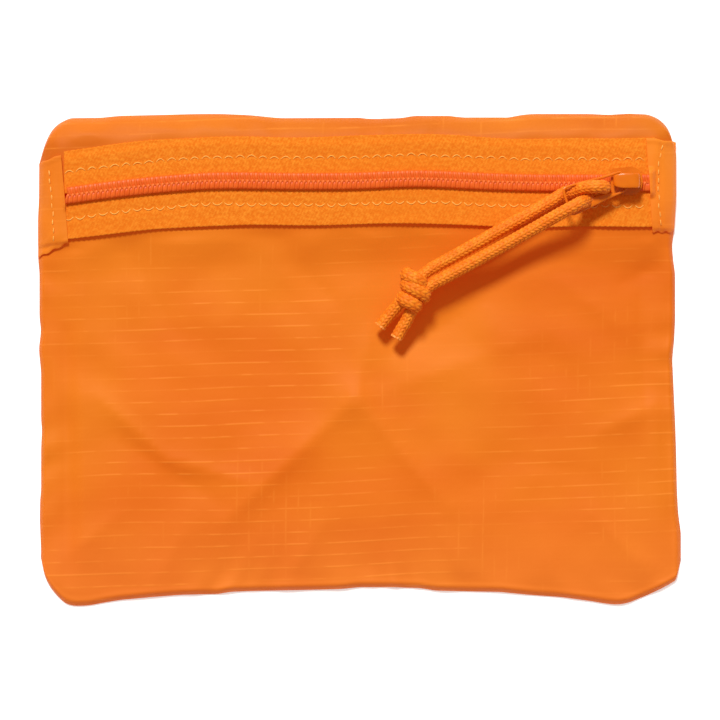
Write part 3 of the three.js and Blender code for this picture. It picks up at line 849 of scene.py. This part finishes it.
def settle(verts, faces, held):
    """Cloth simulation of the front, from its folds. Gives where its points come to rest."""
    mesh = bpy.data.meshes.new("settling")
    mesh.from_pydata((verts * MM).tolist(), [], faces)
    obj = add_object("settling", mesh)
    obj.shape_key_add(name="Basis")
    cut = obj.shape_key_add(name="cut")
    larger = verts * (CUT_LARGER, CUT_LARGER, 1)
    cut.data.foreach_set("co", (larger * MM).ravel())
    group = obj.vertex_groups.new(name="held")
    group.add(np.flatnonzero(held).tolist(), 1.0, "REPLACE")
    cloth = modify(obj, "CLOTH")
    for key, value in CLOTH_SETTINGS.items():
        setattr(cloth.settings, key, value)
    cloth.settings.rest_shape_key = cut
    cloth.settings.vertex_group_mass = "held"
    cloth.settings.effector_weights.gravity = 0
    cloth.collision_settings.use_collision = False
    cloth.point_cache.frame_end = CLOTH_FRAMES
    for number in range(1, CLOTH_FRAMES + 1):
        bpy.context.scene.frame_set(number)
    done = obj.evaluated_get(bpy.context.evaluated_depsgraph_get()).data
    points = np.empty(len(verts) * 3)
    done.vertices.foreach_get("co", points)
    bpy.data.objects.remove(obj)
    bpy.context.scene.frame_set(1)
    return points.reshape(-1, 3) / MM


under_zip = 1 - smooth01((np.abs(flat_y - zip_line(flat_x)) - TAPE_OUTER) / 5)
folded_z = start_z + fold_height(flat_x, flat_y) * smooth01(distance / 12) * (1 - under_zip)
settled = as_points(flat_x, flat_y, folded_z)
held = (distance < HELD_EDGE) | (np.abs(flat_y - ZIP_Y) < HELD_ZIP)
settled = settle(settled, grid_faces(rows, columns), held)
settled_x, settled_y, settled_z = settled.T.reshape(3, rows, columns)
front_x = flat_x + np.clip(settled_x - flat_x, -MOST_SHIFT, MOST_SHIFT)
front_y = flat_y + np.clip(settled_y - flat_y, -MOST_SHIFT, MOST_SHIFT)
loose = smooth01((distance - 1.0) / 6) * (1 - under_zip)
front_z = start_z + np.clip(settled_z - start_z, -MOST_DROP, MOST_RISE) * loose


def finer(values, times):
    """Smoothly subdivides a grid of values by cubic interpolation."""
    for axis in (0, 1):
        count = values.shape[axis]
        places = np.linspace(0, count - 1, (count - 1) * times + 1)
        base = np.clip(np.floor(places).astype(int), 0, count - 2)
        t = np.expand_dims(places - base, 1 - axis)
        p0, p1, p2, p3 = (
            np.take(values, np.clip(base + step, 0, count - 1), axis) for step in (-1, 0, 1, 2)
        )
        curve = 2 * p0 - 5 * p1 + 4 * p2 - p3
        values = 0.5 * (2 * p1 + (p2 - p0) * t + curve * t**2 + (3 * p1 - p0 - 3 * p2 + p3) * t**3)
    return values


FINER = 3
fx, fy, fz = (finer(values, FINER) for values in (front_x, front_y, front_z))
fine_loose = finer(loose, FINER)
fine_distance = np.maximum(finer(distance, FINER), 0)


def crumple(x, y):
    """Small dents left by packing: broad facets with soft edges, from a few crossing waves."""
    a = np.sin(x / 7.3 + 1.6 * np.sin(y / 11.0 + 0.4)) * np.sin(y / 8.1 + 1.3 * np.sin(x / 13.0))
    b = np.sin((x + y) / 5.2 + 2.0 * np.sin(y / 17.0)) * np.sin((x - 0.6 * y) / 9.4 + 1.0)
    c = np.sin(x / 3.4 + 1.2 * np.sin(y / 6.0)) * np.sin(y / 4.4 + 1.5 * np.sin(x / 9.0 + 2.0))
    return 0.26 * a + 0.18 * b + 0.05 * c


# Puckers run in from the sewn edge, and short ones hang below the zip.
pucker_edge = np.exp(-fine_distance / 5) * (1 - np.exp(-fine_distance / 0.8))
bearing = np.arctan2(fy, fx)
puckers = pucker_edge * 0.6 * np.sin(bearing * 34 + 2.5 * np.sin(bearing * 9))
puckers = puckers * np.sin(bearing * 13 + 1)
middle = zip_line(fx)
below_zip = np.exp(-((np.clip(middle - TAPE_OUTER - fy, 0, 99) / 9) ** 1.5))
gathers = below_zip * 0.5 * np.sin(fx / 4.6 + 1.8 * np.sin(fx / 15))
gathers = gathers * smooth01(0.3 + hump(fx, -60, 50))
fz = fz + (crumple(fx, fy) + gathers) * fine_loose + puckers
fz = np.where(fz > CEILING, CEILING + (fz - CEILING) * 0.15, fz)
fz = np.maximum(fz, 0.4 + 0.7 * smooth01(fine_distance / 2))     # it stays over the back

# The front has a slot behind the chain, so it is two pieces of cloth. Past the ends of the zip
# they meet again, in the row of cells that lies by the zip's line near each side.
row_number = np.arange(fx.shape[0])[:, None] + 0 * fx
meeting_rows = [np.argmin(np.abs(fy[:, column] - middle[:, column])) for column in (2, -3)]
meeting_row = np.where(fx < 0, *meeting_rows)
past_zip = np.abs(fx) > ZIP_END + 1
below = np.where(past_zip, row_number <= meeting_row, fy < middle - ZIP_SLOT)
above = np.where(past_zip, row_number >= meeting_row, fy > middle + ZIP_SLOT)
front_verts = as_points(fx, fy, fz)
front_faces = np.array(grid_faces(*fx.shape))


def front_piece(name, keep, finish, node):
    """The part of the front whose points are kept, and the size that it is cut to."""
    faces = front_faces[keep.ravel()[front_faces].all(axis=1)]
    used, faces = np.unique(faces, return_inverse=True)
    verts = front_verts[used]
    obj = make_piece(name, verts, faces.reshape(-1, 4), [finish], "sack", "ripstop", node)
    modify(obj, "SOLIDIFY", thickness=FABRIC * MM, offset=-1)
    size = (verts.max(axis=0) - verts.min(axis=0)) * MM
    return obj, tuple(size[:2].tolist())


front_lower, lower_flat = front_piece("front_cloth_lower", below, RIPSTOP, "front_lower_panel")
front_upper, upper_flat = front_piece("front_cloth_upper", above, RIPSTOP_TOP, "front_upper_panel")

front_tree = BVHTree.FromPolygons(front_verts.tolist(), front_faces.tolist())
OVER_ALL = 50.0


def cloth_top(x, y):
    """Height of the front at each place, and of its sewn edge outside it."""
    heights = []
    for place in zip(np.ravel(x), np.ravel(y)):
        hit = front_tree.ray_cast((*place, OVER_ALL), (0, 0, -1))[0]
        heights.append(hit[2] if hit else EDGE_HEIGHT)
    return np.reshape(heights, np.shape(x))


# The back lies on the floor, with shallow dents.
BACK_REST = 0.28
dents = 0.35 * (0.5 + 0.5 * np.sin(fx / 12 + 1.5 * np.sin(fy / 17))) * smooth01(fine_distance / 10)
back_z = BACK_REST + dents * (0.6 + 0.4 * np.sin(fy / 9 + fx / 21))
back = make_piece(
    "back_cloth", as_points(fx, fy, back_z), front_faces[:, ::-1], [RIPSTOP],
    "sack", "ripstop", "back_panel",
)
modify(back, "SOLIDIFY", thickness=FABRIC * MM, offset=0)

# The seam threads run between the two layers, set in from the outline.
SEAM_INSET = 2.6
SEAM_HEIGHT = 0.85
SEAM_RADIUS = 0.18
SEAM_STEP = 1.0
THREAD_SIDES = 6


def seam(name, xs, ys, node):
    line = resample(as_points(xs, ys, SEAM_HEIGHT + 0 * xs), SEAM_STEP)
    verts, faces, _ = tube(line, SEAM_RADIUS, THREAD_SIDES)
    make_piece(name, verts, faces, [SEAM_THREAD], "sack", "thread", node)


seam_y = np.linspace(-62, 62, 120)
seam_x = np.linspace(-88, 88, 160)
seam_left = soft_line(LEFT_INSET, seam_y) - HALF_W + SEAM_INSET
seam_right = HALF_W - SEAM_INSET - soft_line(RIGHT_INSET, seam_y)
seam("seam_left", seam_left, seam_y, "seam_thread_left")
seam("seam_right", seam_right, seam_y, "seam_thread_right")
seam("seam_bottom", seam_x, soft_line(BOTTOM_LINE, seam_x) + SEAM_INSET, "seam_thread_bottom")
seam("seam_top", seam_x, soft_line(TOP_LINE, seam_x) - SEAM_INSET, "seam_thread_top")


# ---- Zip tapes ----
TAPE_INNER = 0.7       # from the middle of the chain
TAPE_STEP = 0.4
TAPE_ROWS = 36
TAPE_THICKNESS = 0.45
STITCH_ROW = 7.25      # from the middle of the chain


def tape_top(x, offset):
    """Height of the tape's face: it dips along its stitches, and lifts at its free lower edge."""
    dip = 0.14 * hump(np.abs(offset), STITCH_ROW, 1.3)
    roll = 0.22 * smooth01((np.abs(offset) - 10.5) / 3.5) * (0.65 + 0.35 * np.sin(x / 9))
    quilt = 0.06 * np.sin(x / 3.1 + 0.7 * np.sin(x / 8)) * hump(np.abs(offset), 10.5, 3)
    ribs = 0.07 * np.sin(x * TAU / 1.15) * hump(np.abs(offset), 12.4, 0.6)
    flush = np.where(offset > 0, 0.4 * smooth01((offset - 11) / 2.5), 0)
    lifted = TAPE_TOP - dip + np.where(offset < 0, roll, 0) + quilt + ribs - flush
    return lifted + lay(x, zip_line(x))


def tape_edge(x, side):
    """Distance of the free edge from the middle of the chain."""
    wander = 0.35 * np.sin(x / 14 + side) + 0.2 * np.sin(x / 5.3 + 2 * side)
    frill = 0.08 * np.sin(x * TAU / 1.6)
    return TAPE_OUTER - 0.25 + 0.6 * wander + frill


def tape(name, side, node):
    xs = np.arange(-ZIP_END, ZIP_END + 0.01, TAPE_STEP)
    x, share = np.meshgrid(xs, np.linspace(0, 1, TAPE_ROWS))
    offset = side * (TAPE_INNER + (tape_edge(x, side) - TAPE_INNER) * share)
    verts = as_points(x, zip_line(x) + offset, tape_top(x, offset))
    faces = [face[::side] for face in grid_faces(*x.shape)]
    obj = make_piece(name, verts, faces, [TAPE], "sack", "tape", node)
    modify(obj, "SOLIDIFY", thickness=TAPE_THICKNESS * MM, offset=-1)


tape("zip_tape_above", 1, "zip_tape_upper")
tape("zip_tape_below", -1, "zip_tape_lower")


# ---- Coils ----
COIL_PITCH = 1.47
COIL_WIRE = 0.47
COIL_REACH = 0.55      # how far each head passes the middle
COIL_LEFT, COIL_RIGHT = -ZIP_END + 1.0, ZIP_END - 1.5
TURN_STEPS = 22
WIRE_SIDES = 8
CORE_WIDE, CORE_DEEP = 1.35, 0.5     # half of the flat core's width and depth
CORE_STEP = 0.5
CORE_SIDES = 16


def coil(name, side, node):
    """A helix of wire round a flat core. Its heads pass the middle, between the other coil's."""
    turns = int((COIL_RIGHT - COIL_LEFT) / COIL_PITCH)
    t = np.arange(turns * TURN_STEPS + 1) / TURN_STEPS
    angle = t * TAU
    x = COIL_LEFT + (t + (0.5 if side > 0 else 0.0)) * COIL_PITCH
    x = x - 0.2 * COIL_PITCH * np.sin(angle)
    middle_off = (COIL_OUTER - COIL_REACH) / 2
    half_reach = (COIL_OUTER + COIL_REACH) / 2 - COIL_WIRE
    squared = signed_power(np.cos(angle), 0.75)
    offset = middle_off + half_reach * squared
    half_depth = (COIL_TOP - COIL_FOOT) / 2 - COIL_WIRE
    z = COIL_MIDDLE + half_depth * signed_power(np.sin(angle), 0.7)
    z = z + lay(x, zip_line(x))
    line = as_points(x, zip_line(x) + side * offset, z)
    head = smooth01((0.35 - (offset + COIL_REACH) / (COIL_OUTER + COIL_REACH)) / 0.35)
    wire_verts, wire_faces, _ = tube(line, COIL_WIRE + 0.06 * head, WIRE_SIDES)
    # Painted highlight: the heads are painted paler where they lie on the top side of the wire.
    on_top = z > COIL_MIDDLE + lay(x, zip_line(x))
    head_top_highlight = np.append(np.repeat(head * on_top, WIRE_SIDES), [0, 0])
    core_x = np.arange(COIL_LEFT, COIL_RIGHT, CORE_STEP)
    core_y = zip_line(core_x) + side * (middle_off + 0.2)
    core_line = as_points(core_x, core_y, COIL_MIDDLE + lay(core_x, zip_line(core_x)))
    core = tube(core_line, CORE_WIDE, CORE_SIDES, radius_across=CORE_DEEP)
    verts, faces, head_top_highlight = joined([(wire_verts, wire_faces, head_top_highlight), core])
    obj = make_piece(name, verts, faces, [COIL], "sack", "coil", node)
    store(obj, "head", head_top_highlight)


coil("zip_coil_above", 1, "zip_coil_upper")
coil("zip_coil_below", -1, "zip_coil_lower")


# ---- End tabs ----
TAB_GAP = 0.25
TAB_CLOTH = 0.4        # its thickness, as it is folded
TAB_BEVEL = 0.12
TAB_STITCH_X = 93.8    # the line that its stitches pull down
TAB_STITCH_DIP = 0.15


def under_tab(x, y):
    """Top of what an end tab lies on: cloth, tape and chain."""
    offset = np.abs(y - zip_line(x))
    on_tape = smooth01((TAPE_OUTER + 1.0 - offset) / 1.4)
    on_chain = 1 - smooth01((offset - COIL_OUTER - 0.2) / 2.4)
    on_chain = on_chain * smooth01((ZIP_END + 0.5 - np.abs(x)) / 2)
    return cloth_top(x, y) + 0.1 + 0.6 * on_tape + (COIL_TOP - TAPE_TOP) * on_chain


def end_tab(name, side, low, high, inner, finish, node):
    """A folded strip of cloth over the end of the zip.

    low and high are the y of its ends, each at the sack's edge and at its own inner edge, and
    inner is the x of that inner edge at both ends.
    """
    u, v = np.meshgrid(np.linspace(0, 1, 40), np.linspace(0, 1, 90))
    y_guess = low[0] + (high[0] - low[0]) * v
    inset = soft_line(RIGHT_INSET if side > 0 else LEFT_INSET, y_guess)
    x_outer = side * (HALF_W - 0.15) - side * inset
    x_inner = inner[0] + (inner[1] - inner[0]) * v
    x = x_outer + (x_inner - x_outer) * u
    bottom = low[0] + (low[1] - low[0]) * u
    top = high[0] + (high[1] - high[0]) * u
    y = bottom + (top - bottom) * v
    ragged = 0.25 * np.sin(u * 17 + side) * (1 - v) ** 6 + 0.15 * np.sin(u * 11) * v**6
    y = y + ragged
    z = under_tab(x, y) + TAB_GAP
    z = z + 0.16 * np.sin(y / 2.3 + 0.6 * np.sin(x)) * (1 - np.abs(2 * u - 1)) ** 0.5
    z = z - TAB_STITCH_DIP * hump(x, side * TAB_STITCH_X, 0.8)
    z = z + 0.25 * hump(v, 0.02, 0.03) + 0.25 * hump(v, 0.98, 0.03)
    faces = [face[::-side] for face in grid_faces(*x.shape)]
    obj = make_piece(name, as_points(x, y, z), faces, [finish], "sack", "ripstop", node)
    modify(obj, "SOLIDIFY", thickness=TAB_CLOTH * MM, offset=0)
    modify(obj, "BEVEL", width=TAB_BEVEL * MM, segments=2, limit_method="ANGLE")


end_tab(
    "end_cloth_left", -1, (31.6, 36.2), (61.0, 63.6), (-90.6, -92.8), TAB_LEFT_SHADED, "end_tab_left"
)
end_tab(
    "end_cloth_right", 1, (39.7, 39.7), (67.6, 68.8), (91.2, 89.2), TAB_RIGHT_LIT, "end_tab_right"
)


# ---- Stitches ----
STITCH_PITCH = 3.55
TAB_STITCH_PITCH = 2.6
STITCH_THREAD = 0.2    # radius of the thread in the middle of a stitch
TAPE_ROW_ENDS = (-90.4, 88)


def stitches(name, lines, node):
    """One short piece of thread for each stitch, dipping into the cloth at both ends."""
    parts = []
    for line in lines:
        radius = STITCH_THREAD * (1 - 0.25 * np.linspace(-1, 1, len(line)) ** 2)
        parts.append(tube(line, radius, THREAD_SIDES))
    verts, faces, _ = joined(parts)
    make_piece(name, verts, faces, [THREAD], "sack", "thread", node)


def tape_stitches(side):
    """Arches that bulge away from the chain, as a slack upper thread does."""
    lines = []
    for number, x in enumerate(np.arange(*TAPE_ROW_ENDS, STITCH_PITCH)):
        t = np.linspace(-1, 1, 13)
        length = STITCH_PITCH * (0.39 + 0.03 * math.sin(number * 2.1))
        sx = x + t * length
        arch = (1 - t**2) * (0.85 + 0.15 * math.sin(number * 1.7)) - 0.4
        offset = side * (STITCH_ROW + arch + 0.12 * math.sin(number * 0.9))
        z = tape_top(sx, offset) + 0.1 - 0.22 * t**4
        lines.append(as_points(sx, zip_line(sx) + offset, z))
    return lines


stitches("tape_stitches_above", tape_stitches(1), "stitch_tape_upper")
stitches("tape_stitches_below", tape_stitches(-1), "stitch_tape_lower")


def tab_top(x, y, side):
    dip = TAB_STITCH_DIP * hump(x, side * TAB_STITCH_X, 0.8)
    return under_tab(x, y) + TAB_GAP + TAB_CLOTH / 2 - dip + 0.12


def tab_stitches(side, points):
    """Short straight stitches, each over half of the pitch, down a line of (x, y) points."""
    line = spline([(x, y, 0) for x, y in points], TAB_STITCH_PITCH / 2)
    lines = []
    for number in range(0, len(line) - 1, 2):
        a, b = line[number], line[number + 1]
        t = np.linspace(-0.2, 0.95, 9)[:, None]
        run = a + (b - a) * t
        run[:, 0] += 0.16 * math.sin(number * 1.3)
        ends_dip = 0.2 * np.linspace(-1, 1, 9) ** 4
        run[:, 2] = tab_top(run[:, 0], run[:, 1], side) + 0.06 - ends_dip
        lines.append(run)
    return lines


left_row = [(-95.2, 37), (-95.4, 44), (-96, 52), (-97, 60)]
right_row = [(93.8, 42), (93.2, 48), (93, 56), (93.4, 63), (94.6, 66.6)]
stitches("tab_stitches_left", tab_stitches(-1, left_row), "stitch_tab_left")
stitches("tab_stitches_right", tab_stitches(1, right_row), "stitch_tab_right")


# ---- Slider crown and pull tab ----
SLIDER_X = (body_low[0] + body_high[0]) / 2
CROWN_FOOT, CROWN_TOP = crown_low[2], crown_high[2]
CROWN_REAR, CROWN_FRONT = crown_low[0] - SLIDER_X, crown_high[0] - SLIDER_X
CROWN_HALF = 0.45      # half its thickness
CROWN_SIDES = 32
CROWN_STEP = 0.12
BOXY = 0.5             # makes its section a rounded box

# The line of the crown's bar, rear foot to front foot: (x from its middle, height, half-width).
CROWN_BAR = [
    (CROWN_REAR + 0.75, CROWN_FOOT, 0.9), (CROWN_REAR + 0.5, CROWN_FOOT + 1.3, 1.0),
    (CROWN_REAR + 0.35, CROWN_TOP - 1.5, 1.5), (CROWN_REAR + 0.9, CROWN_TOP - 0.75, 1.9),
    (CROWN_REAR + 2.4, CROWN_TOP - 0.45, 2.25), (0.3, CROWN_TOP - 0.4, 2.3),
    (CROWN_FRONT - 1.8, CROWN_TOP - 0.6, 2.25), (CROWN_FRONT - 0.8, CROWN_TOP - 1.2, 2.2),
    (CROWN_FRONT - 0.5, CROWN_TOP - 2.2, 2.1), (CROWN_FRONT - 0.5, CROWN_FOOT, 2.0),
]
bar = spline([(SLIDER_X + x, half, z) for x, z, half in CROWN_BAR], CROWN_STEP)
crown_line = as_points(bar[:, 0], 0 * bar[:, 0] + ZIP_Y, bar[:, 2])
outward = crown_line - (SLIDER_X, ZIP_Y, CROWN_FOOT + 1.0)
verts, faces, _ = tube(
    crown_line, CROWN_HALF, CROWN_SIDES, radius_across=bar[:, 1], guide=outward, square=BOXY
)
make_piece("slider_bridge", verts, faces, [PAINT], "slider", "slider", "slider_crown")

hinge = next(joint for joint in frame["joints"] if joint["name"] == "tab_flip")
TAB_PIVOT = np.array(hinge["pos_m"]) / MM
TAB_ACROSS = np.array(hinge["axis"], float)
TAB_ALONG = np.array([-0.9339, -0.3216, 0.1564])
TAB_UP = np.cross(TAB_ACROSS, TAB_ALONG)
TAB_HALF = 0.45        # half its thickness
# Pairs of points on the outer and inner edge of the frame: (along, across) from the hinge.
TAB_EDGES = [
    ((-0.45, -3.0), (0.45, -2.3)), ((0.6, -3.35), (1.0, -2.7)), ((3.2, -3.55), (3.4, -2.85)),
    ((4.6, -3.65), (4.4, -2.7)), ((5.6, -3.75), (5.8, -1.9)), ((7.2, -3.9), (7.2, -1.6)),
    ((10.5, -4.35), (10.3, -1.6)), ((13.3, -4.7), (12.2, -1.75)), ((15.2, -4.95), (13.2, -3.1)),
    ((17.0, -5.15), (15.2, -4.2)), ((18.7, -5.3), (17.8, -4.0)), ((19.6, -4.6), (18.7, -3.3)),
    ((19.65, -2), (18.75, -1.8)), ((19.65, 1), (18.75, 1)), ((19.5, 3.6), (18.7, 3.0)),
    ((18.7, 4.4), (18.0, 3.6)), ((13, 4.1), (13, 3.3)), ((7, 3.6), (7, 2.7)),
    ((3.2, 3.5), (3.2, 2.6)), ((0.1, 3.4), (0.6, 2.55)), ((-0.45, 3.0), (0.45, 2.5)),
    ((-0.5, 1), (0.45, 1)), ((-0.5, -1), (0.45, -1)),
]
# Its section, rounded: (from outer edge to inner edge, down to up), each from -1 to 1.
TAB_SECTION = [
    (-1, 0), (-0.86, 0.8), (0, 1), (0.86, 0.8), (1, 0), (0.86, -0.8), (0, -1), (-0.86, -0.8),
]


def pull_tab():
    """A flat open frame: the section carried round the edges, and smoothed."""
    points = []
    for outer, inner in TAB_EDGES:
        a, b = np.array(outer), np.array(inner)
        for share, lift in TAB_SECTION:
            along, across = (a + b) / 2 + (b - a) / 2 * share
            flat_place = TAB_PIVOT + along * TAB_ALONG + across * TAB_ACROSS
            points.append(flat_place + lift * TAB_HALF * TAB_UP)
    count, sides = len(TAB_EDGES), len(TAB_SECTION)
    faces = []
    for i in range(count):
        for j in range(sides):
            k, m = (i + 1) % count, (j + 1) % sides
            faces.append((i * sides + j, k * sides + j, k * sides + m, i * sides + m))
    obj = make_piece("pull_tab_frame", points, faces, [PAINT], "pull", "slider", "pull_tab")
    modify(obj, "SUBSURF", levels=3, render_levels=3)


pull_tab()


# ---- Carried-over CAD pieces ----
SHARP = math.radians(25)     # an edge that turns more than this is rounded
for node, material, width in (("slider_body", PAINT, 0.25), ("lock_spring", STEEL, 0.08)):
    obj = frame["nodes"][node]
    obj.data.materials.clear()
    obj.data.materials.append(material)
    modify(obj, "BEVEL", width=width * MM, segments=3, limit_method="ANGLE", angle_limit=SHARP)
    modify(obj, "WEIGHTED_NORMAL", keep_sharp=False)


# ---- Floor and light ----
FLOOR_HALF = 3.0       # metres
FLOOR_GAP = 0.05       # below the sack
floor_finish = Finish("floor_pale", roughness=0.9, specular=0.1)
floor_finish.set("Emission Color", (0.8, 0.95, 1, 1))
floor_finish.set("Emission Strength", 0.42)
floor_tone = floor_finish.patches(0.2, 0.8, 3)
floor_finish.done(floor_finish.blend(floor_tone, (250, 250, 250), (252, 252, 252)))
floor_mesh = bpy.data.meshes.new("floor")
floor_corners = [(-1, -1, 0), (1, -1, 0), (1, 1, 0), (-1, 1, 0)]
floor_mesh.from_pydata((np.array(floor_corners) * FLOOR_HALF).tolist(), [], [(0, 1, 2, 3)])
floor_mesh.materials.append(floor_finish.material)
floor = add_object("floor", floor_mesh)
floor.location.z = -FLOOR_GAP * MM

# One large soft lamp behind the top edge. Its place and size are in metres, its power in watts.
lamp = bpy.data.lights.new("key", "AREA")
lamp.shape = "DISK"
lamp.size = 1.2
lamp.energy = 269
light = add_object("key", lamp)
light.location = (-0.66, 3.24, 4.2)
light.rotation_euler = (-light.location).to_track_quat("-Z", "Y").to_euler()

# The light round the object is a little warm. The camera sees a plain pale backdrop.
world = bpy.data.worlds.new("studio")
world.use_nodes = True
sky = world.node_tree
surround = sky.nodes["Background"]
surround.inputs["Color"].default_value = (1, 0.7, 0.58, 1)
surround.inputs["Strength"].default_value = 0.4
backdrop = sky.nodes.new("ShaderNodeBackground")
backdrop.inputs["Color"].default_value = (0.94, 0.94, 0.94, 1)
seen = sky.nodes.new("ShaderNodeLightPath")
either = sky.nodes.new("ShaderNodeMixShader")
mixed = (seen.outputs["Is Camera Ray"], surround.outputs[0], backdrop.outputs[0])
for socket, output in zip(either.inputs, mixed):
    sky.links.new(output, socket)
sky.links.new(either.outputs[0], sky.nodes["World Output"].inputs["Surface"])
bpy.context.scene.world = world
bpy.context.scene.view_settings.view_transform = "Standard"
